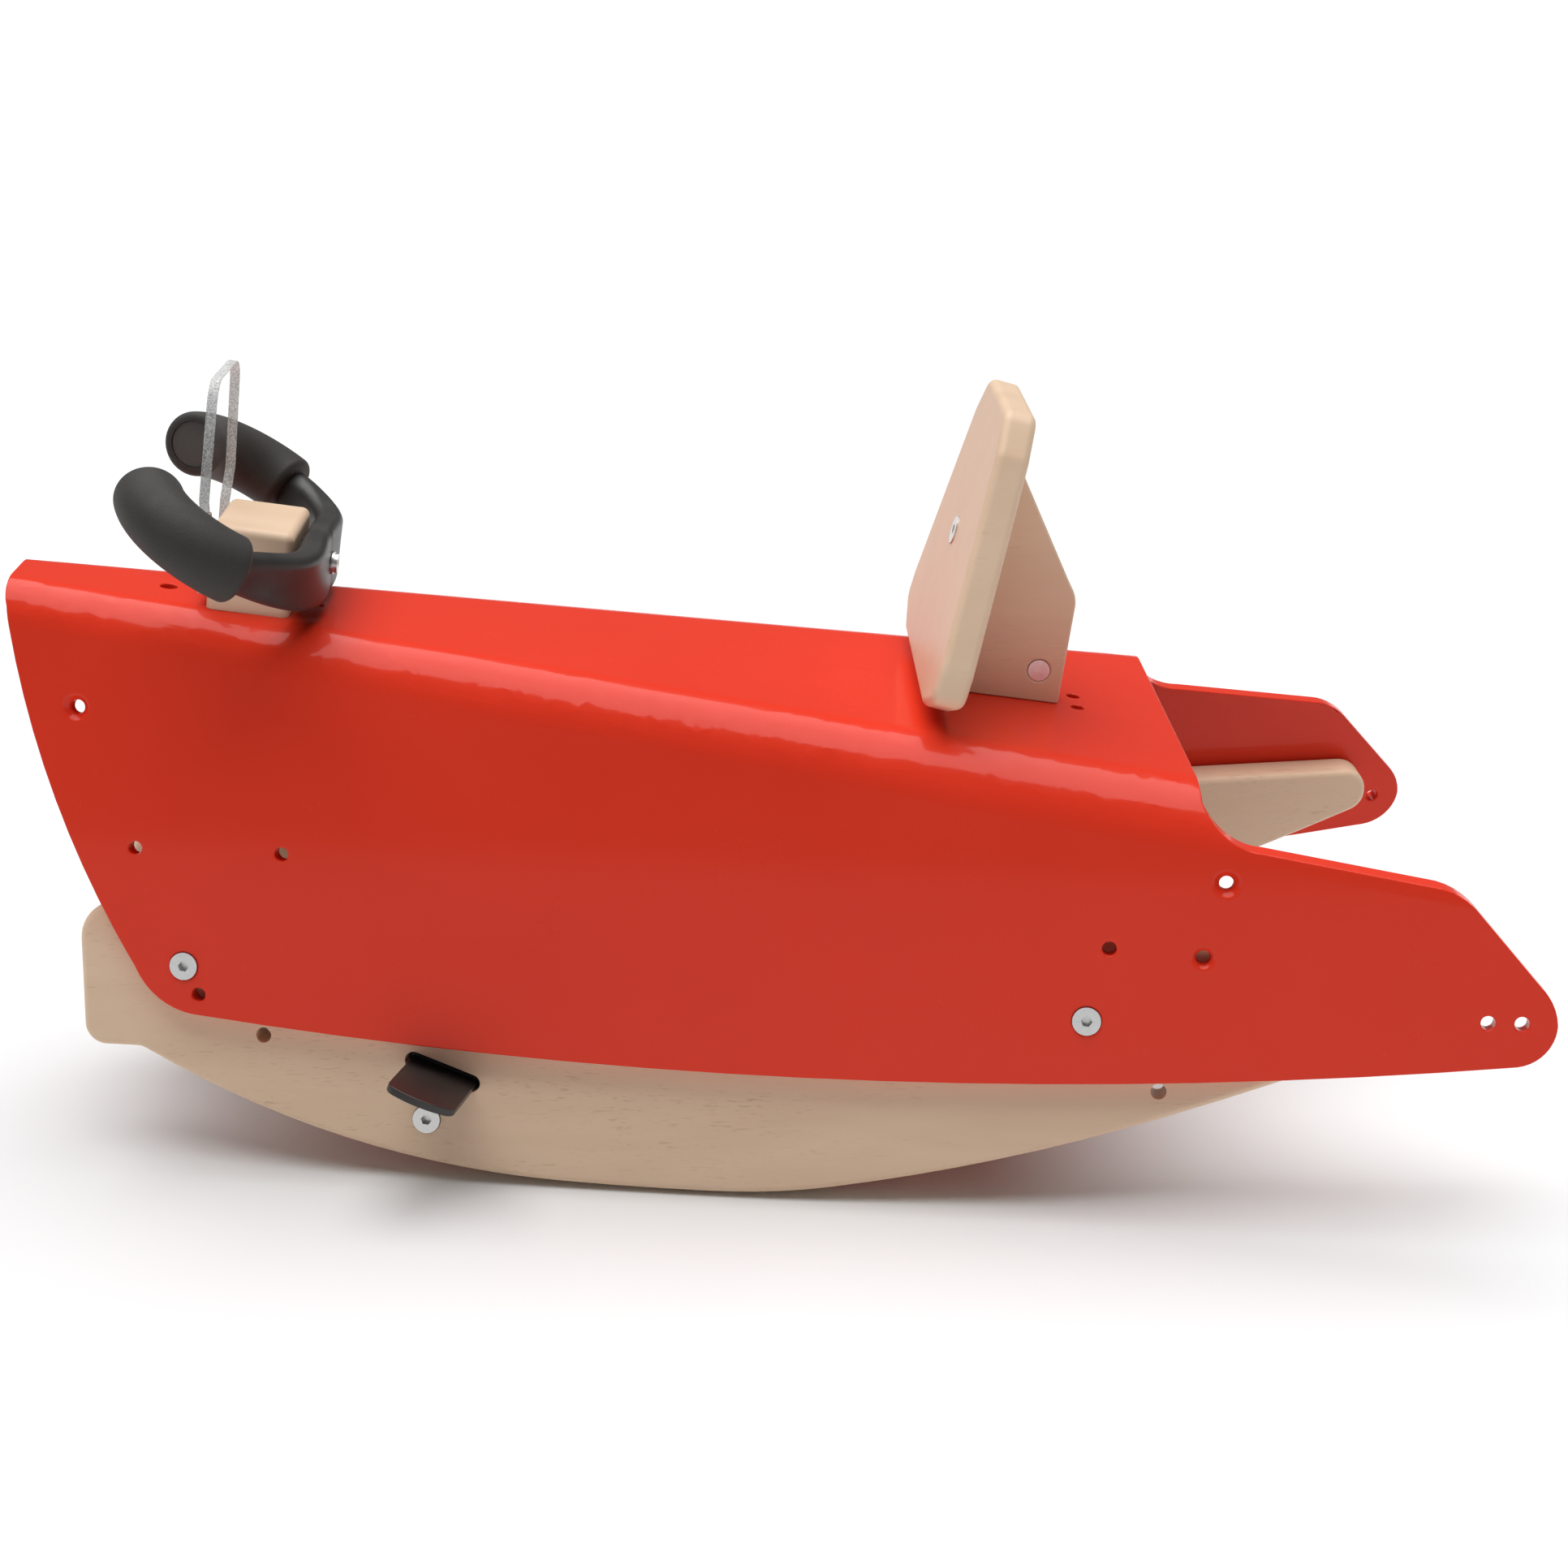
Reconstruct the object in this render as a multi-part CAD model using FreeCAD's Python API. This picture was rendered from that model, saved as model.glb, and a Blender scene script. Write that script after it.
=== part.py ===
import FreeCAD, Part
import math, os

V = FreeCAD.Vector

# ---- driving sizes, mm.  X runs to the rear, -Y is the rider's left, Z is up, floor at Z = 0

# moulded body shell
shell_t = 10.0            # plywood thickness
nose_x = -404.5           # front cut across the deck
tail_x = 402.6            # tips of the two tail flaps
stern_x = 223.5           # rear cut across the deck
deck_nose_z = 314.1       # deck height at the nose
deck_slope = 0.1406       # fall per mm towards the rear
side_mid_y = 126.8        # half width of the sides at X = 0, Z = 100
side_taper = 0.1263       # half width gained per mm towards the rear
side_flare = 0.1978       # half width lost per mm upwards
bend_r_nose = 26.0        # outside bend radius at the nose
bend_r_tail = 41.5        # outside bend radius at the tail

# rocker boards
rocker_t = 20.0
rocker_top_z = 143.5
rocker_front_x = nose_x + 30.3
rocker_tail_x = tail_x - 29.6
toe_l = 31.2              # flat under the front toe
rocker_toe_z = 64.8       # underside of the front toe
rocker_tail_z = 119.0     # underside at the tail tip
rocker_rise = 51.5        # underside at X = 205
contact_x = -39.5         # where the rockers touch the floor
rocker_round = 4.0        # edge rounding
board_hole_d = 8.2

# handle block, standing square on the deck
block_x = nose_x + 127.5
block_l = 44.0
block_w = 62.0
block_h = 46.0
block_round = 4.5

# windscreen on the block's front
screen_t = 5.5
screen_h = 123.0          # above the deck
screen_foot_h = 6.0
screen_top_half = 33.0
screen_wide_half = 39.0
screen_neck_half = 28.0

# handlebar
bar_tilt = 34.2           # the C rises forwards
bar_x = block_x + 35.0    # middle of its back
bar_lift = 25.15          # its height over the deck there
boss_r = 11.0             # round boss between the band and the block
band_t = 15.0
band_h = 34.0
tube_r = 10.0
grip_r = 18.0
grip_gap = 0.2
cap_r = 12.6
cap_sink = 2.6            # depth of the cap's recess in the grip's end

# backrest
board_t = 18.0
board_x = 81.0            # front face at its lower edge
board_lift = 8.6          # that edge's height over the deck
board_lean = 15.8
board_h = 158.5
board_low_half = 67.0
board_wide_half = 97.0
board_top_half = 43.0
board_round = 4.5
brace_t = 18.0
brace_front_x = 96.0      # foot of the brace, under the board
brace_rear = 161.6
brace_rise = 120.6        # where the brace meets the board, over the board's lower edge
cross_nut_d = 12.0
cross_nut_x = 150.4

# footrests
rest_reach = 53.0
rest_w = 38.0
rest_t = 4.2
slot_l = 43.0
slot_h = 9.4
slot_x = -176.4
slot_z = 59.0
slot_tilt = 21.2
plug_sink = 9.0           # the plug stays this far inside the slot's mouth
plug_play = 0.4
flange_t = 4.0
flange_half = 27.0
flange_r = 12.0           # round lug for the bolt

# hardware
head_d = 15.0
head_t = 2.0
bolt_d = 6.0
sleeve_d = 8.6
hole_play = 0.25          # radial play round a bolt or sleeve
socket_d = 5.2
side_hole_d = 7.5

thread_play = 0.1         # radial play of a bolt in a nut or insert
wood_screw_key = 4.0
head_sink = 1.0           # how deep the disc heads sit in the wood
wood_screw_d = 5.0
wood_screw_head_d = 12.0
screen_screw_d = 4.0
screen_screw_head_d = 13.0
screen_screw_key = 3.0
screw_play = 0.3          # radial play of a screw in the windscreen
bar_head_d = 10.5         # head of the handlebar's bolt
bar_key = 4.0
bar_washer_d = 12.5
brace_washer_d = 18.0
washer_t = 1.2

# where the holes are: X and Z on the sides, X, Y and width on the deck
side_bolts = [(nose_x + 89.9, 114.7), (164.8, 106.9)]
side_holes = [(nose_x + 66.0, 177.1), (nose_x + 145.5, 176.8), (nose_x + 97.3, 99.4),
              (175.9, 145.2), (tail_x - 34.9, 115.1), (tail_x - 18.0, 115.4)]
side_sunk_holes = [(nose_x + 37.1, 250.6, 14.5), (stern_x + 0.3, 142.2, 12.0),
                   (stern_x + 11.3, 180.9, 14.5)]      # last: countersink width
deck_holes = [(nose_x + 80.8, 0, 9.2), (nose_x + 161.4, 0, 4.8), (172.4, 9.7, 7.2), (172.4, -9.7, 7.2)]
board_holes = [(rocker_front_x + 100.1, 74.6), (204.0, 66.9)]
rest_bolt = (-185.8, 32.5)

# ---- derived
deck_ang = math.degrees(math.atan(deck_slope))
deck_k = math.sqrt(1.0 + deck_slope ** 2)
side_k = math.sqrt(1.0 + side_taper ** 2 + side_flare ** 2)
flare = math.atan(side_flare)
turn = math.pi / 2.0 - flare
bend_k = math.tan(turn / 2.0)


def deck_z(x, sink=0.0):
    return deck_nose_z - deck_slope * (x - nose_x) - sink * deck_k


def side_y(x, z, sink=0.0):
    return side_mid_y + side_taper * x - side_flare * (z - 100.0) - sink * side_k


def bend_r(x):
    return bend_r_nose + (bend_r_tail - bend_r_nose) * (x - nose_x) / (tail_x - nose_x)


def line(a, b):
    return Part.makeLine(a, b)


def arc(a, m, b):
    return Part.Arc(a, m, b).toShape()


def face_of(edges):
    return Part.Face(Part.Wire(Part.__sortEdges__(edges)))


def arc_from(a, heading, b):
    # arc that leaves a along heading and ends at b
    d = b - a
    u = V(heading)
    u.normalize()
    n = d - u * d.dot(u)
    n.normalize()
    r = d.dot(d) / (2.0 * d.dot(n))
    half = math.asin(min(1.0, d.Length / (2.0 * abs(r))))
    centre = a + n * r
    m = (a + b) * 0.5 - centre
    m.normalize()
    return arc(a, centre + m * abs(r), b)


def end_heading(a, heading, b):
    # heading at b of the arc above: mirror the start heading in the chord
    d = b - a
    d.normalize()
    u = V(heading)
    u.normalize()
    return d * (2.0 * u.dot(d)) - u


def arc_chain(a, heading, ends):
    # smooth run of arcs from a through the ends
    out = []
    for b in ends:
        out.append(arc_from(a, heading, b))
        heading = end_heading(a, heading, b)
        a = b
    return out


def round_plate(plate, normal, corners, rim):
    # rounds the named corners right through the plate, then both rims
    for at, r in corners:
        through = [e for e in plate.Edges if len(e.Vertexes) == 2 and e.Curve.TypeId == "Part::GeomLine"
                   and abs(abs(e.tangentAt(e.FirstParameter).dot(normal)) - 1.0) < 1e-6]
        near = sorted(through, key=lambda e: (e.Vertexes[0].Point - at).cross(normal).Length)[0]
        plate = plate.makeFillet(r, [near])
    if rim > 0:
        rims = [e for e in plate.Edges
                if abs((e.valueAt(e.FirstParameter) - e.valueAt(e.LastParameter)).dot(normal)) < 1e-3]
        plate = plate.makeFillet(rim, rims)
    return plate


def mirrored(shape):
    return shape.mirror(V(0, 0, 0), V(0, 1, 0))


def cyl(r, h, base, axis):
    return Part.makeCylinder(r, h, base, axis)


def hexagon(across, h, base, axis):
    poly = Part.makePolygon([V(across / math.sqrt(3) * math.cos(math.radians(60 * i)),
                               across / math.sqrt(3) * math.sin(math.radians(60 * i)), 0) for i in range(7)])
    s = Part.Face(poly).extrude(V(0, 0, h))
    s.Placement = FreeCAD.Placement(base, FreeCAD.Rotation(V(0, 0, 1), axis))
    return s


def deck_point(x, h, y=0.0):
    # a point h above the deck, square to it, from the deck line at x
    return V(x + h * deck_slope / deck_k, y, deck_z(x) + h / deck_k)


deck_back = V(1.0 / deck_k, 0, -deck_slope / deck_k)
deck_up = V(deck_slope / deck_k, 0, 1.0 / deck_k)


# ---- body shell: one flared channel, trimmed by its side view
def channel_edges(x, sink, foot_z):
    zt = deck_z(x, sink)
    corner = side_y(x, zt, sink)
    r = bend_r(x) - sink
    flat = corner - r * bend_k
    foot = corner + (zt - foot_z) * side_flare
    def pt(a, s):
        return V(x, s * (flat + r * math.sin(a)), zt - r + r * math.cos(a))
    return [line(V(x, foot, foot_z), pt(turn, 1)), arc(pt(turn, 1), pt(turn / 2, 1), pt(0, 1)),
            line(pt(0, 1), pt(0, -1)), arc(pt(0, -1), pt(turn / 2, -1), pt(turn, -1)),
            line(pt(turn, -1), V(x, -foot, foot_z)), line(V(x, -foot, foot_z), V(x, foot, foot_z))]


def channel(xa, xb, sink, foot_z):
    ea, eb = channel_edges(xa, sink, foot_z), channel_edges(xb, sink, foot_z)
    faces = [Part.Face(Part.Wire(ea)), Part.Face(Part.Wire(eb))]
    for f, g in zip(ea, eb):
        if f.Curve.TypeId == "Part::GeomLine":
            c = [f.Vertexes[0].Point, f.Vertexes[1].Point, g.Vertexes[1].Point, g.Vertexes[0].Point]
            faces.append(Part.Face(Part.makePolygon(c + c[:1])))
        else:
            faces.append(Part.makeRuledSurface(f, g))
    skin = Part.makeShell(faces)
    skin.sewShape()
    body = Part.makeSolid(skin)
    return body if body.Volume > 0 else body.reversed()


outer = channel(nose_x - 20, tail_x + 20, 0, 50)
inner = channel(nose_x - 30, tail_x + 30, shell_t, 30)


trim_half = 260.0         # wider than the shell


def trim_pt(x, z):
    return V(x, -trim_half, z)


def bow(dx, dz):
    return trim_pt(nose_x + dx, deck_nose_z + dz)


def keel(dx, z):
    return trim_pt(nose_x + dx, z)


def flap(dx, z):
    return trim_pt(tail_x + dx, z)


def stern(dx, dz):
    return trim_pt(stern_x + dx, deck_z(stern_x) + dz)


over = 45.9               # the trim reaches this far over the deck
trim_edges = [
    line(bow(0, over), bow(0, -3.1)),
    arc(bow(0, -3.1), bow(0.4, -7.6), bow(1.5, -12.1)),
    arc(bow(1.5, -12.1), bow(17.9, -95.1), keel(63.0, 113)),
    arc(keel(63.0, 113), keel(74.3, 97.2), keel(95.0, 88.3)),
    arc(keel(95.0, 88.3), trim_pt(22.2, 69.6), flap(-19.6, 92.7)),
    arc(flap(-19.6, 92.7), flap(-4.8, 101.6), flap(0, 115.0)),
    arc(flap(0, 115.0), flap(-2.2, 124.6), flap(-8.9, 134.3)),
    line(flap(-8.9, 134.3), flap(-40.1, 169.8)),
    arc(flap(-40.1, 169.8), flap(-49.9, 178.6), flap(-61.1, 183.1)),
    line(flap(-61.1, 183.1), stern(30.5, -29.0)),
    arc(stern(30.5, -29.0), stern(10.1, -21.2), stern(0, -7.3)),
    line(stern(0, -7.3), bow(stern_x - nose_x, over)),
    line(bow(stern_x - nose_x, over), bow(0, over))]
trim = face_of(trim_edges).extrude(V(0, 2 * trim_half, 0))
shell = outer.common(trim).cut(inner)

# spare holes through both sides, square to them
side_n = V(-side_taper, -1.0, side_flare)
side_n.normalize()            # outward normal of the left side


def side_point(x, z, sink=0.0):
    # on the left side, sink below its outer face, along the face's normal from (x, z)
    return V(x, -side_y(x, z), z) - side_n * sink


def both(shapes):
    out = []
    for s in shapes:
        out += [s, mirrored(s)]
    return out


cuts = []
for x, z in side_holes:
    cuts.append(cyl(side_hole_d / 2, 30, side_point(x, z, -10), side_n * -1))
for x, z, seat_d in side_sunk_holes:
    cuts.append(cyl(side_hole_d / 2, 30, side_point(x, z, -10), side_n * -1))
    depth = (seat_d - side_hole_d) / 2.0
    cone = Part.makeCone(seat_d / 2 + 0.5, side_hole_d / 2, depth + 0.5, side_point(x, z, -0.5), side_n * -1)
    cuts[-1] = cuts[-1].fuse(cone)
for x, z in side_bolts:
    shank_hole = cyl(bolt_d / 2 + hole_play, 40, side_point(x, z, -10), side_n * -1)
    head_hole = cyl(head_d / 2 + hole_play, 10 + head_sink, side_point(x, z, -10), side_n * -1)
    cuts.append(shank_hole.fuse(head_hole))
deck_cuts = [cyl(d / 2, 30, deck_point(x, 10, y), deck_up * -1) for x, y, d in deck_holes]
for tool in both(cuts) + deck_cuts:
    shell = shell.cut(tool)

# ---- rocker boards, flat on the inside of the shell's sides
def on_board(x, z):
    return V(x, -side_y(x, z, shell_t), z)


touch = on_board(contact_x, 0.0)
toe_front = on_board(rocker_front_x, rocker_toe_z)
toe_rear = on_board(rocker_front_x + toe_l, rocker_toe_z)
top_front = on_board(rocker_front_x, rocker_top_z)
top_tail = on_board(rocker_tail_x, rocker_top_z)
low_tail = on_board(rocker_tail_x, rocker_tail_z)
level = V(1.0, -side_taper, 0)                    # along the board, level
forwards = arc_chain(touch, level * -1, [on_board(-115.0, 1.5), toe_rear])
rearwards = arc_chain(touch, level, [on_board(-22.0, 0.2), on_board(32.0, 5.6), on_board(205.0, rocker_rise),
                                     low_tail])
straight = [line(top_tail, top_front), line(top_front, toe_front), line(toe_front, toe_rear),
            line(low_tail, top_tail)]
rocker = face_of(straight + forwards + rearwards).extrude(side_n * -rocker_t)
rocker = round_plate(rocker, side_n, [(top_front, 21.0), (toe_front, 12.0), (toe_rear, 12.0),
                                      (low_tail, 13.0), (top_tail, 15.0)], rocker_round)

# footrest slot: its long way falls to the rear along the board
along = V(math.cos(math.radians(slot_tilt)), 0, -math.sin(math.radians(slot_tilt)))
along = along - side_n * along.dot(side_n)
along.normalize()
across = side_n.cross(along)
if across.z < 0:
    across = across * -1


def stadium(length, height, centre, depth, axis):
    r = height / 2.0
    a = length / 2.0 - r
    edges = [
        line(centre + along * a + across * r, centre - along * a + across * r),
        arc(centre - along * a + across * r, centre - along * (a + r), centre - along * a - across * r),
        line(centre - along * a - across * r, centre + along * a - across * r),
        arc(centre + along * a - across * r, centre + along * (a + r), centre + along * a + across * r)]
    return face_of(edges).extrude(axis * depth)


slot_mouth = on_board(slot_x, slot_z)
lug = on_board(*rest_bolt)
inwards = side_n * -1
board_cuts = [stadium(slot_l, slot_h, slot_mouth + side_n * 5, rocker_t + 10, inwards)]
for x, z in board_holes:
    board_cuts.append(cyl(board_hole_d / 2, 40, on_board(x, z) + side_n * 8, inwards))
for x, z in side_bolts:
    outside = side_point(x, z)
    board_cuts.append(cyl(sleeve_d / 2 + hole_play, 50, outside, inwards))
    nut_seat = outside - side_n * (shell_t + rocker_t - head_sink)
    board_cuts.append(cyl(head_d / 2 + hole_play, 12, nut_seat, inwards))
board_cuts.append(cyl(sleeve_d / 2 + hole_play, 50, lug + side_n * 8, inwards))
board_cuts.append(cyl(head_d / 2 + hole_play, 8 + head_sink, lug + side_n * 8, inwards))
rocker = rocker.cut(board_cuts)

# ---- footrest: tread, plug in the slot and flange on the board's inside
half_w = rest_w / 2.0
root = -plug_sink - 1.0


def tread_pt(s, out):
    return slot_mouth - across * 0.2 + along * s + side_n * out


def tread_corner(s):
    # the rounded corner at one side of the tread's front, s is 1 or -1
    return arc(tread_pt(s * half_w, rest_reach - 9), tread_pt(s * (half_w - 1.6), rest_reach - 4.9),
               tread_pt(s * (half_w - 6), rest_reach - 2.2))


tread_edges = [
    tread_corner(-1), tread_corner(1),
    arc(tread_pt(6 - half_w, rest_reach - 2.2), tread_pt(0, rest_reach), tread_pt(half_w - 6, rest_reach - 2.2)),
    line(tread_pt(half_w, rest_reach - 9), tread_pt(half_w, root)),
    line(tread_pt(half_w, root), tread_pt(-half_w, root)),
    line(tread_pt(-half_w, root), tread_pt(-half_w, rest_reach - 9))]
tread = face_of(tread_edges).extrude(across * -rest_t)
plug = stadium(slot_l - 2 * plug_play, slot_h - 2 * plug_play, slot_mouth - side_n * plug_sink,
               rocker_t - plug_sink + 1.0, inwards)
lug_s = (lug - slot_mouth).dot(along)
lug_d = (lug - slot_mouth).dot(across)


def flange_pt(s, t):
    return slot_mouth - side_n * rocker_t + along * s + across * t


flange_edges = [
    line(flange_pt(-flange_half, 12), flange_pt(flange_half, 12)),
    arc(flange_pt(flange_half, 12), flange_pt(flange_half + 3.5, 8.5), flange_pt(flange_half, 1.0)),
    line(flange_pt(flange_half, 1.0), flange_pt(lug_s + flange_r, lug_d - 2)),
    arc(flange_pt(lug_s + flange_r, lug_d - 2), flange_pt(lug_s, lug_d - flange_r),
        flange_pt(lug_s - flange_r, lug_d - 2)),
    line(flange_pt(lug_s - flange_r, lug_d - 2), flange_pt(-flange_half, 1.0)),
    arc(flange_pt(-flange_half, 1.0), flange_pt(-flange_half - 3.5, 8.5), flange_pt(-flange_half, 12))]
flange = face_of(flange_edges).extrude(inwards * flange_t)
footrest = tread.fuse([plug, flange]).removeSplitter()
footrest = footrest.cut([cyl(sleeve_d / 2 + hole_play, 50, lug, inwards)])


# ---- fasteners: a flat disc head with a hexagon socket, and a sleeve nut from the other side
def headed(seat, axis, head_width, head_tall, shank_width, length, key, key_deep):
    # seat is the middle of the head's underside, axis points from the head along the shank
    body = cyl(head_width / 2, head_tall, seat - axis * head_tall, axis)
    body = body.fuse(cyl(shank_width / 2, length, seat, axis)).removeSplitter()
    return body.cut(hexagon(key, key_deep, seat - axis * head_tall, axis))


def disc_bolt(seat, axis, length):
    return headed(seat, axis, head_d, head_t, bolt_d, length, socket_d, head_t + 1.6)


def sleeve_nut(seat, axis, length, bore):
    body = headed(seat, axis, head_d, head_t, sleeve_d, length, socket_d, head_t + 0.6)
    return body.cut(cyl(bolt_d / 2 + thread_play, bore, seat + axis * (length - bore), axis))


side_bolt_list, side_nut_list = [], []
for x, z in side_bolts:
    outside = side_point(x, z)
    side_bolt_list.append(disc_bolt(outside - side_n * head_sink, inwards, shell_t + rocker_t - 8.0))
    nut_seat = outside - side_n * (shell_t + rocker_t - head_sink)
    side_nut_list.append(sleeve_nut(nut_seat, side_n, rocker_t - 2.0, rocker_t - 6.0))
rest_bolt_one = disc_bolt(lug - side_n * head_sink, inwards, rocker_t - 2.0)
rest_nut_one = sleeve_nut(lug - side_n * (rocker_t + flange_t), side_n, rocker_t + 1.0, rocker_t - 3.0)

# ---- handle block and what holds it
up, back = deck_up, deck_back
block_foot = deck_point(block_x, 0)


def deck_box(x, length, width, low, high):
    # a box square to the deck, from low to high above it
    corner = deck_point(x, low) - back * (length / 2.0) - V(0, width / 2.0, 0)
    rect = [corner, corner + back * length, corner + back * length + V(0, width, 0), corner + V(0, width, 0)]
    return Part.Face(Part.makePolygon(rect + rect[:1])).extrude(up * (high - low))


def on_deck(edge):
    return all(abs((v.Point - block_foot).dot(up)) < 1e-3 for v in edge.Vertexes)


block = deck_box(block_x, block_l, block_w, 0, block_h)
block = block.makeFillet(block_round, [e for e in block.Edges if not on_deck(e)])
block_front = block_foot - back * (block_l / 2.0)
block_rear = block_foot + back * (block_l / 2.0)
bar_o = V(bar_x, 0, deck_z(bar_x) + bar_lift)       # middle of the handlebar's back band
bolt_seat = block_rear + up * (bar_o - block_foot).dot(up)
screen_screw_h = (12.0, block_h - 8.5)
block_screw_s = (-12.0, 12.0)
insert_l = 12.0
block_cuts = []
for s in block_screw_s:
    block_cuts.append(cyl(wood_screw_d / 2 + thread_play, 26, block_foot + back * s - up * 1, up))
for h in screen_screw_h:
    block_cuts.append(cyl(screen_screw_d / 2 + thread_play, 16, block_front + up * h - back * 1, back))
block_cuts.append(cyl(bolt_d / 2 + hole_play, 26, bolt_seat + back * 1, back * -1))
block_cuts.append(cyl(5.0, insert_l + 2.1, bolt_seat + back * 0.5, back * -1))
block = block.cut(block_cuts)
bar_insert = cyl(4.9, insert_l, bolt_seat - back * 0.5, back * -1)
bar_insert = bar_insert.cut(cyl(bolt_d / 2 + thread_play, insert_l + 2.0, bolt_seat, back * -1))

block_screws = []
for s in block_screw_s:
    seat = deck_point(block_x, -shell_t) + back * s
    block_screws.append(headed(seat, up, wood_screw_head_d, head_t, wood_screw_d, shell_t + 22.0,
                               wood_screw_key, 1.6))
    shell = shell.cut(cyl(wood_screw_d / 2 + 0.2, 40, seat - up * 5.0, up))


# ---- windscreen
def screen_pt(y, h):
    return block_front - back * screen_t + up * h + V(0, y, 0)


def screen_side(s):
    # outline of one side, s is 1 or -1
    foot, neck, wide, top = screen_foot_h, screen_neck_half, screen_wide_half, screen_top_half
    return [
        arc(screen_pt(s * (neck - 3), foot), screen_pt(s * (neck - 0.9), foot + 0.9),
            screen_pt(s * neck, foot + 3)),
        line(screen_pt(s * neck, foot + 3), screen_pt(s * neck, block_h - 2)),
        arc(screen_pt(s * neck, block_h - 2), screen_pt(s * (neck + 4.5), block_h + 5),
            screen_pt(s * wide, block_h + 15)),
        line(screen_pt(s * wide, block_h + 15), screen_pt(s * (top + 1.2), screen_h - 14)),
        arc(screen_pt(s * (top + 1.2), screen_h - 14), screen_pt(s * (top - 2.4), screen_h - 4.2),
            screen_pt(s * (top - 10), screen_h))]


screen_level = [line(screen_pt(s * (half - gap), h), screen_pt(-s * (half - gap), h)) for s, half, gap, h in
                ((1, screen_neck_half, 3, screen_foot_h), (-1, screen_top_half, 10, screen_h))]
screen = face_of(screen_side(1) + screen_side(-1) + screen_level).extrude(back * screen_t)
screen_screws = []
for h in screen_screw_h:
    seat = screen_pt(0, h)
    screen = screen.cut(cyl(screen_screw_d / 2 + screw_play, 20, seat - back * 5, back))
    screen_screws.append(headed(seat, back, screen_screw_head_d, head_t, screen_screw_d, screen_t + 14.0,
                                screen_screw_key, 1.5))

# ---- handlebar: flat back band, arms running into round tubes, foam grips
tilt = math.radians(bar_tilt)
bar_f = V(-math.cos(tilt), 0, math.sin(tilt))       # forwards and up, in the plane of the C
bar_n = V(math.sin(tilt), 0, math.cos(tilt))        # square to that plane


def bar_pt(ahead, out):
    return bar_o + bar_f * ahead + V(0, -out, 0)


def bar_section(ahead, out, heading, tall, thick, r, lift=0.0):
    # rounded rectangle square to the path; heading is the path's angle from outwards to forwards
    h = math.radians(heading)
    side = bar_f * -math.cos(h) + V(0, -1, 0) * math.sin(h)
    path_way = V(0, -1, 0) * math.cos(h) + bar_f * math.sin(h)
    turned = FreeCAD.Rotation(path_way, lift)
    side, square = turned.multVec(side), turned.multVec(bar_n)
    centre = bar_pt(ahead, out)
    x, y = thick / 2.0, tall / 2.0
    d = r * (1 - math.sqrt(0.5))

    def pt(i, j):
        return centre + side * i + square * j

    return Part.Wire([
        line(pt(-x + r, -y), pt(x - r, -y)), arc(pt(x - r, -y), pt(x - d, -y + d), pt(x, -y + r)),
        line(pt(x, -y + r), pt(x, y - r)), arc(pt(x, y - r), pt(x - d, y - d), pt(x - r, y)),
        line(pt(x - r, y), pt(-x + r, y)), arc(pt(-x + r, y), pt(-x + d, y - d), pt(-x, y - r)),
        line(pt(-x, y - r), pt(-x, -y + r)), arc(pt(-x, -y + r), pt(-x + d, -y + d), pt(-x + r, -y))])


twist = bar_tilt - deck_ang
arm = Part.makeLoft([bar_section(0, 0, 0, band_h, band_t, 4.5, twist),
                     bar_section(0, 30, 0, band_h, band_t, 4.5, twist),
                     bar_section(3.5, 46, 24, band_h - 3, band_t + 1, 5.0, twist * 0.8),
                     bar_section(15, 66, 46, 28, 16.5, 6.5, twist * 0.4),
                     bar_section(33, 86.5, 66, 22, 20, 9.0, 0)], True, False)
grip_from, grip_via, grip_to = bar_pt(33, 86.5), bar_pt(57, 89.6), bar_pt(90.5, 59.4)
path = Part.Wire([arc(grip_from, grip_via, grip_to)])
grip_arc = path.Edges[0]
way_in = grip_arc.tangentAt(grip_arc.FirstParameter)
way_out = grip_arc.tangentAt(grip_arc.LastParameter)
grip_end = grip_arc.valueAt(grip_arc.LastParameter)


def swept(r):
    ring = Part.Wire([Part.makeCircle(r, grip_from, way_in)])
    return path.makePipeShell([ring], True, True)


grip = swept(grip_r).cut(swept(tube_r + grip_gap))
rims = [e for e in grip.Edges if e.Closed and abs(e.Length - 2 * math.pi * grip_r) < 2.0]
grip = grip.makeFillet(4.0, rims)
recess = grip_end - way_out * cap_sink
grip = grip.cut(cyl(cap_r + 0.3, 6.0, recess, way_out))
cap = cyl(cap_r, cap_sink - 0.9, recess + way_out * 0.1, way_out)
tube = swept(tube_r).cut(cyl(cap_r + 2.0, 6.0, recess, way_out))
frame_half = arm.fuse(tube)
bar_frame = frame_half.fuse(mirrored(frame_half)).removeSplitter()
boss_l = (bar_o - block_rear).dot(back) - band_t / 2.0
band_back = bolt_seat + back * (boss_l + band_t)
bar_frame = bar_frame.fuse(cyl(boss_r, 16.0, bolt_seat - back * 4, back)).removeSplitter()
bar_frame = bar_frame.cut([deck_box(block_x, block_l + 0.1, block_w + 1.0, -20, 90),
                           cyl(bolt_d / 2 + hole_play, 60, band_back + back * 10, back * -1)])
bar_washer = cyl(bar_washer_d / 2, washer_t, band_back, back)
bar_washer = bar_washer.cut(cyl(bolt_d / 2 + 0.2, 3, band_back - back * 0.5, back))
bar_bolt = headed(band_back + back * washer_t, back * -1, bar_head_d, head_t, bolt_d,
                  washer_t + band_t + boss_l + 11.0, bar_key, head_t + 0.6)

# ---- backrest board, brace behind it and their fixings
lean = math.radians(board_lean)
rise = V(math.sin(lean), 0, math.cos(lean))
face = V(-math.cos(lean), 0, math.sin(lean))      # towards the rider
foot = V(board_x, 0, deck_z(board_x) + board_lift)


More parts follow.
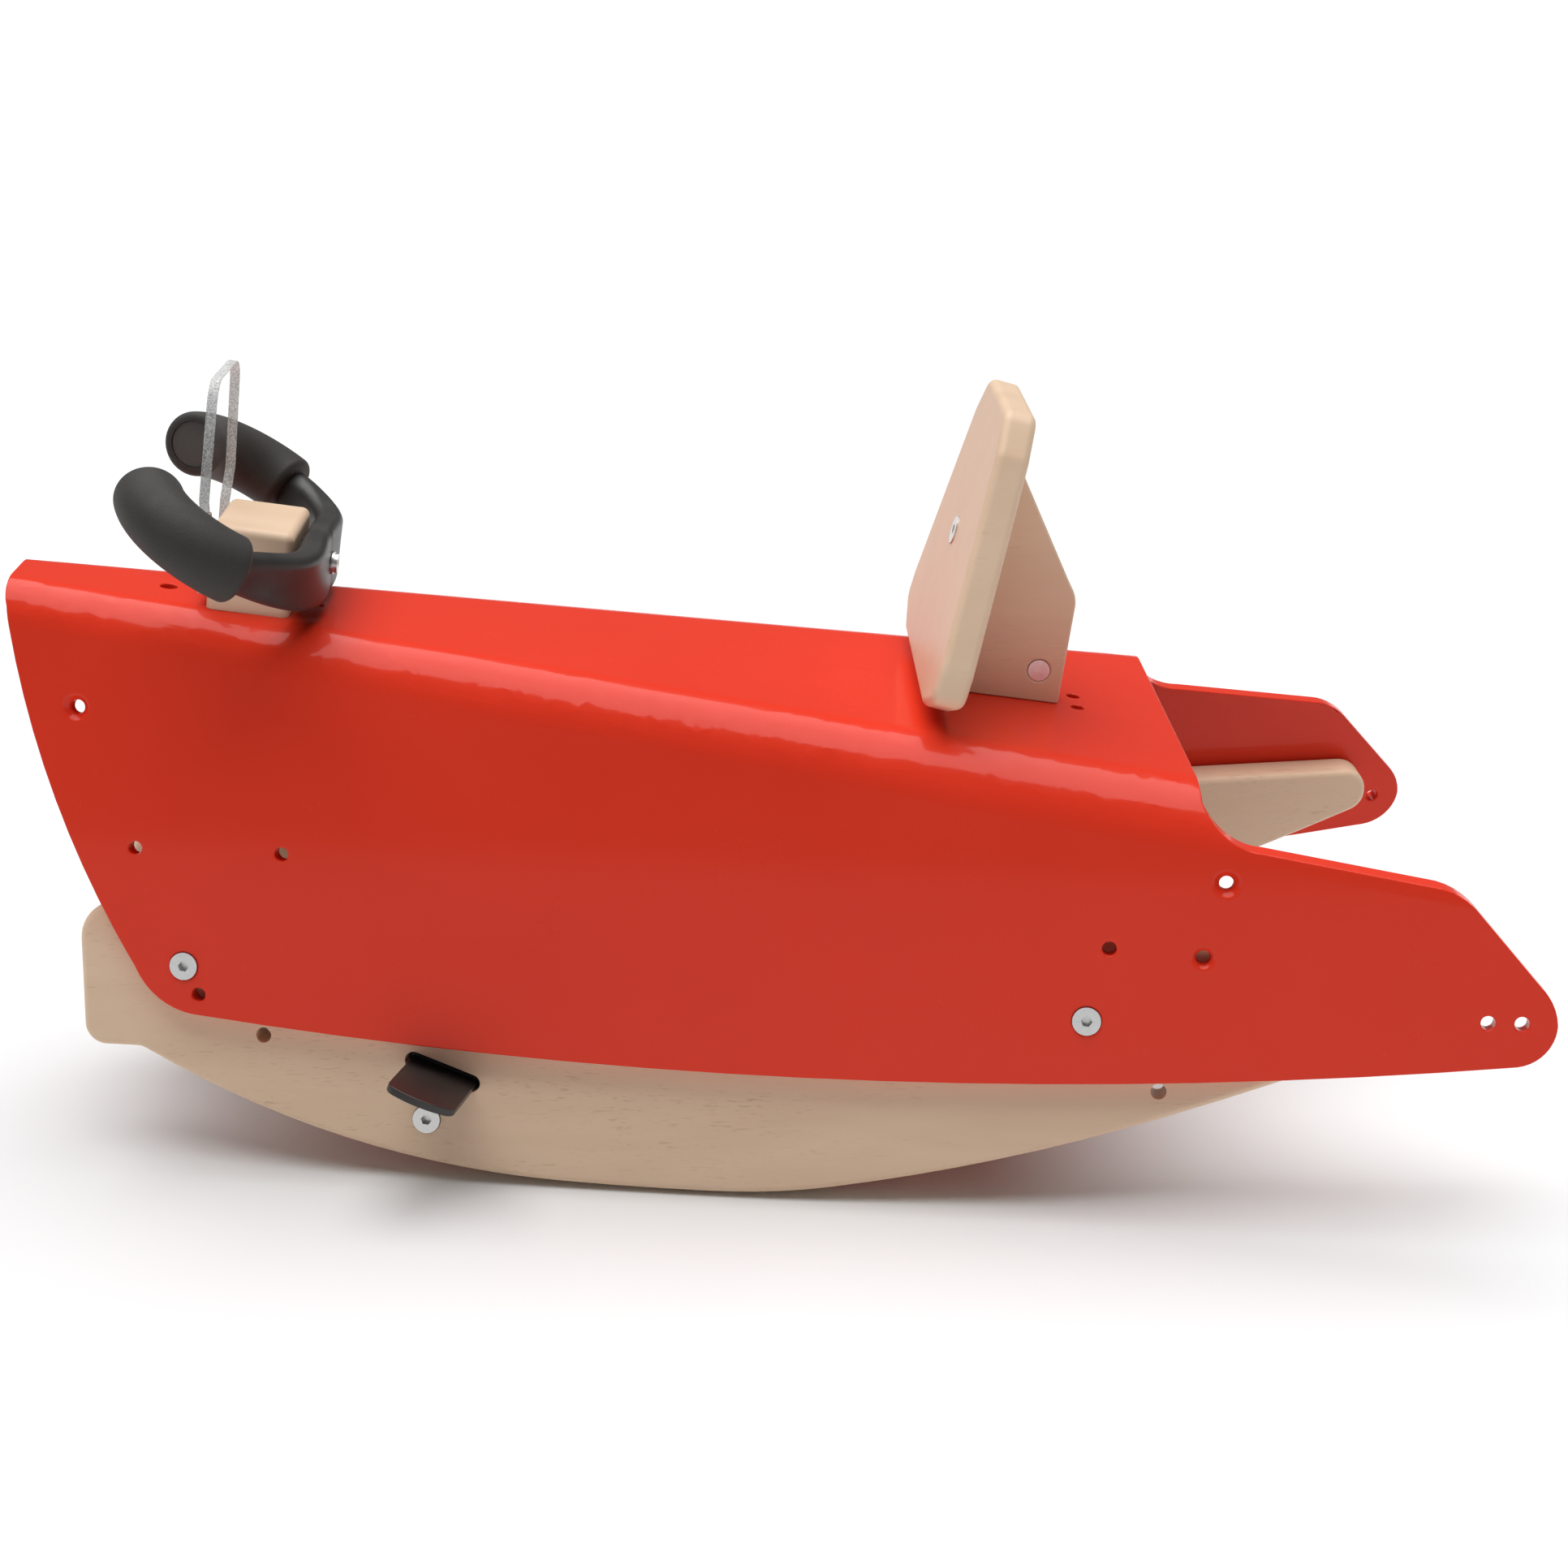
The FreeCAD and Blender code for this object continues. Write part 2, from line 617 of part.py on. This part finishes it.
def board_pt(y, h):
    return foot + V(0, y, 0) + rise * h


# half of the board's outline from its foot up: half width, height and corner radius
board_half = [(board_low_half, 0, 16.0), (board_wide_half + 0.5, 12, 10.0), (board_wide_half, 30, 24.0),
              (board_top_half + 16.0, board_h - 20, 14.0), (board_top_half, board_h, 12.0)]
right_half = [(board_pt(y, h), r) for y, h, r in board_half]
left_half = [(board_pt(-y, h), r) for y, h, r in reversed(board_half)]
board_corners = right_half + left_half
outline = [at for at, r in board_corners]
board = Part.Face(Part.makePolygon(outline + outline[:1])).extrude(face * -board_t)
board = round_plate(board, face, board_corners, board_round)

back_foot = foot - face * board_t


def brace_pt(x, z):
    return V(x, -brace_t / 2.0, z)


def board_back(z):
    # the point of the board's back face at height z, on the brace's side
    return brace_pt(back_foot.x + (z - back_foot.z) * math.tan(lean), z)


heel = board_back(deck_z(brace_front_x))
toe = brace_pt(brace_rear, deck_z(brace_rear))
brace_low = brace_pt(169.0, foot.z + 34.1)
brace_mid = brace_pt(169.0, foot.z + 41.1)
brace_high = brace_pt(166.4, foot.z + 47.6)
tip = board_back(foot.z + brace_rise)
brace = face_of([line(heel, toe), line(toe, brace_low), arc(brace_low, brace_mid, brace_high),
                 line(brace_high, tip), line(tip, heel)]).extrude(V(0, brace_t, 0))
screw_mid = foot + rise * 80.5
nut_mid = V(cross_nut_x, 0, foot.z - 0.4)
brace = brace.cut([cyl(sleeve_d / 2 + hole_play, 26, screw_mid - face * (board_t - 2), face * -1),
                   cyl(cross_nut_d / 2 + 0.1, brace_t + 2, nut_mid - V(0, brace_t / 2 + 1, 0), V(0, 1, 0)),
                   cyl(bolt_d / 2 + hole_play, 40, nut_mid + up * 6, up * -1)])
board = board.cut([cyl(bolt_d / 2 + hole_play, 60, screw_mid + face * 5, face * -1),
                   cyl(head_d / 2 + hole_play, 5 + head_sink + 0.2, screw_mid + face * 5, face * -1)])
back_screw = disc_bolt(screw_mid - face * (head_sink + 0.2), face * -1, board_t + 18.0)
back_insert = cyl(sleeve_d / 2, 22, screw_mid - face * (board_t + 0.5), face * -1)
back_insert = back_insert.cut(cyl(bolt_d / 2 + thread_play, 23, screw_mid - face * board_t, face * -1))

nut_l = brace_t - 0.4
cross_nut = cyl(cross_nut_d / 2, nut_l, nut_mid - V(0, nut_l / 2, 0), V(0, 1, 0))
cross_nut = cross_nut.cut(cyl(bolt_d / 2 + thread_play, 20, nut_mid - up * 10, up))
over_deck = (nut_mid.z - deck_z(nut_mid.x)) / (up.z + deck_slope * up.x)
seat = nut_mid - up * (over_deck + shell_t + 1.6)
brace_bolt = disc_bolt(seat, up, over_deck + shell_t + 4.0)
brace_washer = cyl(brace_washer_d / 2, washer_t + 0.2, seat + up * 0.1, up)
brace_washer = brace_washer.cut(cyl(bolt_d / 2 + 0.2, 3, seat - up * 0.5, up))
shell = shell.cut(cyl(bolt_d / 2 + hole_play, 30, seat - up * 4, up))

# ---- write one STEP file per node, after centring the object over the origin
nodes = {
    "body_shell": [shell],
    "rocker_left": [rocker],
    "rocker_right": [mirrored(rocker)],
    "shell_bolts": both(side_bolt_list),
    "shell_sleeve_nuts": both(side_nut_list),
    "footrest_left": [footrest],
    "footrest_right": [mirrored(footrest)],
    "footrest_bolts": both([rest_bolt_one]),
    "footrest_sleeve_nuts": both([rest_nut_one]),
    "handle_block": [block],
    "block_screws": block_screws,
    "windscreen": [screen],
    "windscreen_screws": screen_screws,
    "handlebar_frame": [bar_frame],
    "handlebar_bolt": [bar_bolt],
    "handlebar_washer": [bar_washer],
    "handlebar_insert": [bar_insert],
    "grip_left": [grip],
    "grip_right": [mirrored(grip)],
    "grip_cap_left": [cap],
    "grip_cap_right": [mirrored(cap)],
    "backrest_board": [board],
    "backrest_screw": [back_screw],
    "backrest_insert": [back_insert],
    "backrest_brace": [brace],
    "brace_cross_nut": [cross_nut],
    "brace_bolt": [brace_bolt],
    "brace_washer": [brace_washer],
}

box = FreeCAD.BoundBox()
for shapes in nodes.values():
    for s in shapes:
        box.add(s.optimalBoundingBox(False, False))
shift = V(-(box.XMin + box.XMax) / 2.0, -(box.YMin + box.YMax) / 2.0, -box.ZMin)
print("shift", [round(v, 3) for v in shift])

os.makedirs("parts", exist_ok=True)
for name, shapes in nodes.items():
    solids = []
    for s in shapes:
        s = s.translated(shift)
        solids += s.Solids
    for s in solids:
        if not s.isValid() or s.Volume <= 0:
            print("BAD", name)
    out = solids[0] if len(solids) == 1 else Part.makeCompound(solids)
    out.exportStep("parts/" + name + ".step")
    b = out.optimalBoundingBox(False, False)
    print("%-22s solids %d of %d  vol %.0f  x %.1f..%.1f y %.1f..%.1f z %.1f..%.1f" % (
        name, len(solids), len(shapes), out.Volume, b.XMin, b.XMax, b.YMin, b.YMax, b.ZMin, b.ZMax))
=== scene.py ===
import bpy
import math
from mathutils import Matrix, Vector


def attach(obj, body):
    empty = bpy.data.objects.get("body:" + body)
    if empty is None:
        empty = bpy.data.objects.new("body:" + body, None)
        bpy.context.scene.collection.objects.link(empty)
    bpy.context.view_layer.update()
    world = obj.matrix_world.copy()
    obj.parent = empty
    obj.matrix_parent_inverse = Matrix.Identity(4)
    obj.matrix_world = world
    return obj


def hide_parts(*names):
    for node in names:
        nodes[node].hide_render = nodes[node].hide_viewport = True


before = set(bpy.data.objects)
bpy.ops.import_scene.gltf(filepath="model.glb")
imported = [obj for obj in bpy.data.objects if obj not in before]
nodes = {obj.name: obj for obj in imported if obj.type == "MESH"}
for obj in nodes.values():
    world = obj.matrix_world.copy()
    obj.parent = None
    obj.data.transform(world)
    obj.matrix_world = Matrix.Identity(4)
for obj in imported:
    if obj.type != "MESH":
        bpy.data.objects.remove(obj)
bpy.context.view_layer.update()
print("frame loaded:", len(nodes), "nodes")

# the deck falls to the rear by this slope, as in the frame
shell = {"slope": 0.1406, "edge": 0.0008}
deckAngle = math.atan(shell["slope"])


def deselectAll():
    if bpy.context.object and bpy.context.object.mode != "OBJECT":
        bpy.ops.object.mode_set(mode="OBJECT")
    bpy.ops.object.select_all(action="DESELECT")


def makeActive(piece):
    deselectAll()
    piece.select_set(True)
    bpy.context.view_layer.objects.active = piece


def applyAll(piece):
    makeActive(piece)
    for mod in list(piece.modifiers):
        bpy.ops.object.modifier_apply(modifier=mod.name)


def smoothBy(piece, degrees):
    makeActive(piece)
    bpy.ops.object.shade_smooth_by_angle(angle=math.radians(degrees))


def fix(piece, node=None):
    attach(piece, "root")
    if node:
        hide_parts(node)
    return piece


# materials
def newMaterial(name):
    mat = bpy.data.materials.new(name)
    mat.use_nodes = True
    tree = mat.node_tree
    return mat, tree, tree.nodes["Principled BSDF"]


def link(tree, fromNode, fromSocket, toNode, toSocket):
    tree.links.new(fromNode.outputs[fromSocket], toNode.inputs[toSocket])


def objectCoords(tree, scale=(1, 1, 1), turn=(0, 0, 0)):
    coord = tree.nodes.new("ShaderNodeTexCoord")
    mapping = tree.nodes.new("ShaderNodeMapping")
    mapping.vector_type = "POINT"
    mapping.inputs["Scale"].default_value = scale
    mapping.inputs["Rotation"].default_value = turn
    link(tree, coord, "Object", mapping, "Vector")
    return mapping


def noise(tree, source, scale, detail=3.0, rough=0.5, distort=0.0):
    n = tree.nodes.new("ShaderNodeTexNoise")
    n.inputs["Scale"].default_value = scale
    n.inputs["Detail"].default_value = detail
    n.inputs["Roughness"].default_value = rough
    n.inputs["Distortion"].default_value = distort
    link(tree, source, "Vector", n, "Vector")
    return n


def ramp(tree, source, socket, stops):
    r = tree.nodes.new("ShaderNodeValToRGB")
    while len(r.color_ramp.elements) < len(stops):
        r.color_ramp.elements.new(0.5)
    for e, (at, colour) in zip(r.color_ramp.elements, stops):
        e.position = at
        e.color = colour if len(colour) == 4 else (*colour, 1)
    link(tree, source, socket, r, "Fac")
    return r


def mixColour(tree, factor, a, b, mode="MIX"):
    # a and b are colours or (node, socket); factor is a number or (node, socket)
    m = tree.nodes.new("ShaderNodeMix")
    m.data_type = "RGBA"
    m.blend_type = mode
    for socket, value in ((0, factor), (6, a), (7, b)):
        if isinstance(value, tuple) and hasattr(value[0], "outputs"):
            tree.links.new(value[0].outputs[value[1]], m.inputs[socket])
        elif socket == 0:
            m.inputs[0].default_value = value
        else:
            m.inputs[socket].default_value = (*value, 1)
    return m


def bump(tree, shader, source, socket, strength, depth):
    b = tree.nodes.new("ShaderNodeBump")
    b.inputs["Strength"].default_value = strength
    b.inputs["Distance"].default_value = depth
    link(tree, source, socket, b, "Height")
    link(tree, b, "Normal", shader, "Normal")
    return b


redLacquer = {
    "colour": (0.78, 0.041, 0.016),
    "deep": (0.745, 0.038, 0.0145),
    "specular": 0.10,
    "coat": 0.22,
    "coatRough": 0.05,
}


def makeRedLacquer():
    mat, tree, shader = newMaterial("redLacquer")
    place = objectCoords(tree)
    cloud = noise(tree, place, 5.0, 4.0, 0.55)
    tone = ramp(tree, cloud, "Fac", [(0.35, redLacquer["deep"]), (0.65, redLacquer["colour"])])
    link(tree, tone, "Color", shader, "Base Color")
    along = objectCoords(tree, (6, 40, 40))
    ripple = noise(tree, along, 3.0, 4.0, 0.5)
    fine = noise(tree, place, 900.0, 2.0, 0.6)
    height = mixColour(tree, 0.4, (ripple, "Fac"), (fine, "Fac"))
    bump(tree, shader, height, 2, 0.012, 0.0002)
    gloss = ramp(tree, noise(tree, place, 22.0, 5.0, 0.6), "Fac", [(0.3, (0.22,) * 3), (0.75, (0.29,) * 3)])
    link(tree, gloss, "Color", shader, "Roughness")
    shader.inputs["Specular IOR Level"].default_value = redLacquer["specular"]
    shader.inputs["Coat Weight"].default_value = redLacquer["coat"]
    shader.inputs["Coat Roughness"].default_value = redLacquer["coatRough"]
    return mat


beech = {
    "pale": (0.80, 0.585, 0.415),
    "warm": (0.75, 0.535, 0.37),
    "fleck": (0.52, 0.34, 0.21),
    "specular": 0.3,
}


def makeBeech(name, turn, fleckAmount):
    # grain runs along X of the turned pattern
    mat, tree, shader = newMaterial(name)
    broad = objectCoords(tree, (1.2, 16, 16), turn)
    bands = noise(tree, broad, 2.2, 5.0, 0.55, 0.6)
    tone = ramp(tree, bands, "Fac", [(0.30, beech["warm"]), (0.62, beech["pale"])])
    pores = objectCoords(tree, (60, 900, 900), turn)
    dash = noise(tree, pores, 1.0, 1.0, 0.4)
    flecks = ramp(tree, dash, "Fac", [(0.60, (0, 0, 0)), (0.72, (1, 1, 1))])
    patches = ramp(tree, noise(tree, objectCoords(tree, (9, 60, 60), turn), 1.0, 2.0), "Fac",
                   [(0.42, (0.0,) * 3), (0.66, (fleckAmount,) * 3)])
    amount = mixColour(tree, 1.0, (flecks, "Color"), (patches, "Color"), "MULTIPLY")
    colour = mixColour(tree, (amount, 2), (tone, "Color"), beech["fleck"])
    link(tree, colour, 2, shader, "Base Color")
    fibre = noise(tree, objectCoords(tree, (30, 700, 700), turn), 1.0, 3.0, 0.6)
    bump(tree, shader, fibre, "Fac", 0.18, 0.00025)
    gloss = ramp(tree, bands, "Fac", [(0.2, (0.38,) * 3), (0.8, (0.50,) * 3)])
    link(tree, gloss, "Color", shader, "Roughness")
    shader.inputs["Specular IOR Level"].default_value = beech["specular"]
    return mat


def makeFoam():
    mat, tree, shader = newMaterial("gripFoam")
    place = objectCoords(tree)
    cells = tree.nodes.new("ShaderNodeTexVoronoi")
    cells.inputs["Scale"].default_value = 1500.0
    link(tree, place, "Vector", cells, "Vector")
    soft = noise(tree, place, 60.0, 4.0, 0.6)
    tone = ramp(tree, soft, "Fac", [(0.3, (0.023, 0.0205, 0.0175)), (0.7, (0.034, 0.0305, 0.026))])
    # the cells give the foam its real pitted bump; the colour is also darkened in each pit, which is
    # painted shade in the pits
    paintedPitShade = ramp(tree, cells, "Distance", [(0.05, (0.55,) * 3), (0.45, (1, 1, 1))])
    colour = mixColour(tree, 0.6, (tone, "Color"), (paintedPitShade, "Color"), "MULTIPLY")
    link(tree, colour, 2, shader, "Base Color")
    bump(tree, shader, cells, "Distance", 0.35, 0.0003)
    gloss = ramp(tree, soft, "Fac", [(0.3, (0.62,) * 3), (0.7, (0.76,) * 3)])
    link(tree, gloss, "Color", shader, "Roughness")
    shader.inputs["Sheen Weight"].default_value = 0.04
    shader.inputs["Sheen Roughness"].default_value = 0.5
    return mat


def makeMoulded(name, dark, light, rough, grainScale=700.0, strength=0.2):
    mat, tree, shader = newMaterial(name)
    place = objectCoords(tree)
    cloud = noise(tree, place, 35.0, 4.0, 0.6)
    tone = ramp(tree, cloud, "Fac", [(0.3, dark), (0.7, light)])
    link(tree, tone, "Color", shader, "Base Color")
    grain = noise(tree, place, grainScale, 2.0, 0.5)
    bump(tree, shader, grain, "Fac", strength, 0.0002)
    gloss = ramp(tree, cloud, "Fac", [(0.3, (rough - 0.05,) * 3), (0.7, (rough + 0.06,) * 3)])
    link(tree, gloss, "Color", shader, "Roughness")
    return mat


def makeZinc():
    mat, tree, shader = newMaterial("zincPlate")
    place = objectCoords(tree)
    cloud = noise(tree, place, 180.0, 4.0, 0.6)
    tone = ramp(tree, cloud, "Fac", [(0.3, (0.66, 0.66, 0.65)), (0.7, (0.80, 0.80, 0.79))])
    link(tree, tone, "Color", shader, "Base Color")
    turned = noise(tree, objectCoords(tree, (900, 900, 900)), 1.0, 2.0)
    bump(tree, shader, turned, "Fac", 0.12, 0.0001)
    gloss = ramp(tree, cloud, "Fac", [(0.3, (0.26,) * 3), (0.7, (0.40,) * 3)])
    link(tree, gloss, "Color", shader, "Roughness")
    shader.inputs["Metallic"].default_value = 0.85
    return mat


def makeClearSheet():
    mat, tree, shader = newMaterial("clearSheet")
    place = objectCoords(tree)
    smear = noise(tree, place, 14.0, 3.0, 0.5)
    tone = ramp(tree, smear, "Fac", [(0.3, (0.93, 0.95, 0.95)), (0.7, (0.97, 0.98, 0.98))])
    link(tree, tone, "Color", shader, "Base Color")
    gloss = ramp(tree, smear, "Fac", [(0.4, (0.02,) * 3), (0.9, (0.06,) * 3)])
    link(tree, gloss, "Color", shader, "Roughness")
    shader.inputs["Alpha"].default_value = 0.03
    shader.inputs["Specular IOR Level"].default_value = 0.5
    return mat


def makeFrostedEdge():
    mat, tree, shader = newMaterial("frostedEdge")
    place = objectCoords(tree)
    speckle = noise(tree, place, 1000.0, 3.0, 0.75)
    tone = ramp(tree, speckle, "Fac", [(0.38, (0.30, 0.30, 0.29)), (0.62, (0.80, 0.80, 0.79))])
    link(tree, tone, "Color", shader, "Base Color")
    bump(tree, shader, speckle, "Fac", 0.4, 0.0002)
    gloss = ramp(tree, speckle, "Fac", [(0.3, (0.45,) * 3), (0.7, (0.65,) * 3)])
    link(tree, gloss, "Color", shader, "Roughness")
    shader.inputs["Alpha"].default_value = 0.88
    return mat


redPaint = makeRedLacquer()
rockerBeech = makeBeech("rockerBeech", (0, 0, 0), 0.55)
boardBeech = makeBeech("boardBeech", (0, 0, math.radians(90)), 0.2)
blockBeech = makeBeech("blockBeech", (0, 0, math.radians(90)), 0.15)
braceBeech = makeBeech("braceBeech", (0, math.radians(74), 0), 0.2)
foam = makeFoam()
capPlastic = makeMoulded("capPlastic", (0.055, 0.050, 0.045), (0.075, 0.069, 0.062), 0.5)
barCoat = makeMoulded("barCoat", (0.022, 0.021, 0.020), (0.034, 0.032, 0.030), 0.40, 1200.0, 0.10)
stepPlastic = makeMoulded("stepPlastic", (0.020, 0.017, 0.016), (0.034, 0.029, 0.027), 0.33, 500.0, 0.15)
zinc = makeZinc()
clearSheet = makeClearSheet()
frostedEdge = makeFrostedEdge()
print("materials made")


# lengths in metres, angles in degrees
soften = {"merge": 0.00002, "flat": 0.3, "segments": 3, "smooth": 32, "flatWeight": 100}


# pieces that keep the frame's shape, with softened edges
def softenedCopy(node, name, mat, edge=0.0, angle=35.0):
    mesh = nodes[node].data.copy()
    piece = bpy.data.objects.new(name, mesh)
    bpy.context.scene.collection.objects.link(piece)
    makeActive(piece)
    bpy.ops.object.mode_set(mode="EDIT")
    bpy.ops.mesh.select_all(action="SELECT")
    bpy.ops.mesh.remove_doubles(threshold=soften["merge"])
    bpy.ops.mesh.dissolve_limited(angle_limit=math.radians(soften["flat"]))
    bpy.ops.object.mode_set(mode="OBJECT")
    if edge > 0:
        bevel = piece.modifiers.new("softEdge", "BEVEL")
        bevel.width = edge
        bevel.segments = soften["segments"]
        bevel.limit_method = "ANGLE"
        bevel.angle_limit = math.radians(angle)
        bevel.use_clamp_overlap = False
        bevel.miter_outer = "MITER_ARC"
        applyAll(piece)
    mesh.materials.clear()
    mesh.materials.append(mat)
    smoothBy(piece, soften["smooth"])
    weigh = piece.modifiers.new("flatFacesFirst", "WEIGHTED_NORMAL")
    weigh.keep_sharp = True
    weigh.weight = soften["flatWeight"]
    applyAll(piece)
    return fix(piece, node)


softenedCopy("body_shell", "shellBody", redPaint, edge=shell["edge"])
for side in ("left", "right"):
    softenedCopy("rocker_" + side, "rocker" + side.capitalize(), rockerBeech, edge=0.0004, angle=50)
softenedCopy("backrest_board", "backrestBoard", boardBeech)
softenedCopy("backrest_brace", "backrestBrace", braceBeech, edge=0.0015, angle=40)
softenedCopy("handle_block", "handleBlock", blockBeech)
print("wood and shell made")

screen = softenedCopy("windscreen", "windscreen", clearSheet, edge=0.0006, angle=40)
screen.data.materials.append(frostedEdge)
# the broad faces are clear and the rim is frosted
back = Vector((math.cos(deckAngle), 0, -math.sin(deckAngle)))
broadFace = 0.9
for face in screen.data.polygons:
    face.material_index = 0 if abs(face.normal.dot(back)) > broadFace else 1
print("windscreen made")

for side in ("left", "right"):
    grip = softenedCopy("grip_" + side, "grip" + side.capitalize(), foam)
    softenedCopy("grip_cap_" + side, "gripCap" + side.capitalize(), capPlastic)
    softenedCopy("footrest_" + side, "footrest" + side.capitalize(), stepPlastic,
                 edge=0.0005, angle=50)
softenedCopy("handlebar_frame", "handlebar", barCoat)
print("handlebar made")

# small metal parts keep their frame nodes
for name, node in nodes.items():
    if not node.hide_render:
        node.data.materials.clear()
        node.data.materials.append(zinc)

# studio
studio = {
    "floor": 90.0,
    "paper": (0.81, 0.825, 0.83),
    "sky": 0.15,
    "sun": 3.7,
    "sunSpread": 66,
    "sunTurn": (-8, -6),
}
deselectAll()
bpy.ops.mesh.primitive_plane_add(size=studio["floor"], location=(0, 0, 0))
floor = bpy.context.object
floor.name = "floor"
paper, paperTree, paperShader = newMaterial("paper")
paperShader.inputs["Base Color"].default_value = (*studio["paper"], 1)
paperShader.inputs["Roughness"].default_value = 0.9
floor.data.materials.append(paper)

world = bpy.data.worlds.new("studioWorld")
bpy.context.scene.world = world
world.use_nodes = True
world.node_tree.nodes["Background"].inputs["Color"].default_value = (1, 1, 1, 1)
world.node_tree.nodes["Background"].inputs["Strength"].default_value = studio["sky"]

sun = bpy.data.lights.new("overhead", "SUN")
sun.energy = studio["sun"]
sun.angle = math.radians(studio["sunSpread"])
sunLamp = bpy.data.objects.new("overhead", sun)
bpy.context.scene.collection.objects.link(sunLamp)
sunTurn = studio["sunTurn"]
sunLamp.rotation_euler = (math.radians(sunTurn[0]), math.radians(sunTurn[1]), 0)

camera = {"place": (-0.01775, -1.3653, 0.70006), "tilt": 69.46, "pan": -1.22, "lens": 59.63, "sensor": 36}
camData = bpy.data.cameras.new("camera")
camData.lens = camera["lens"]
camData.sensor_width = camera["sensor"]
cam = bpy.data.objects.new("camera", camData)
bpy.context.scene.collection.objects.link(cam)
cam.location = camera["place"]
cam.rotation_euler = (math.radians(camera["tilt"]), 0, math.radians(camera["pan"]))
bpy.context.scene.camera = cam
bpy.context.scene.view_settings.view_transform = "Standard"
print("studio made")
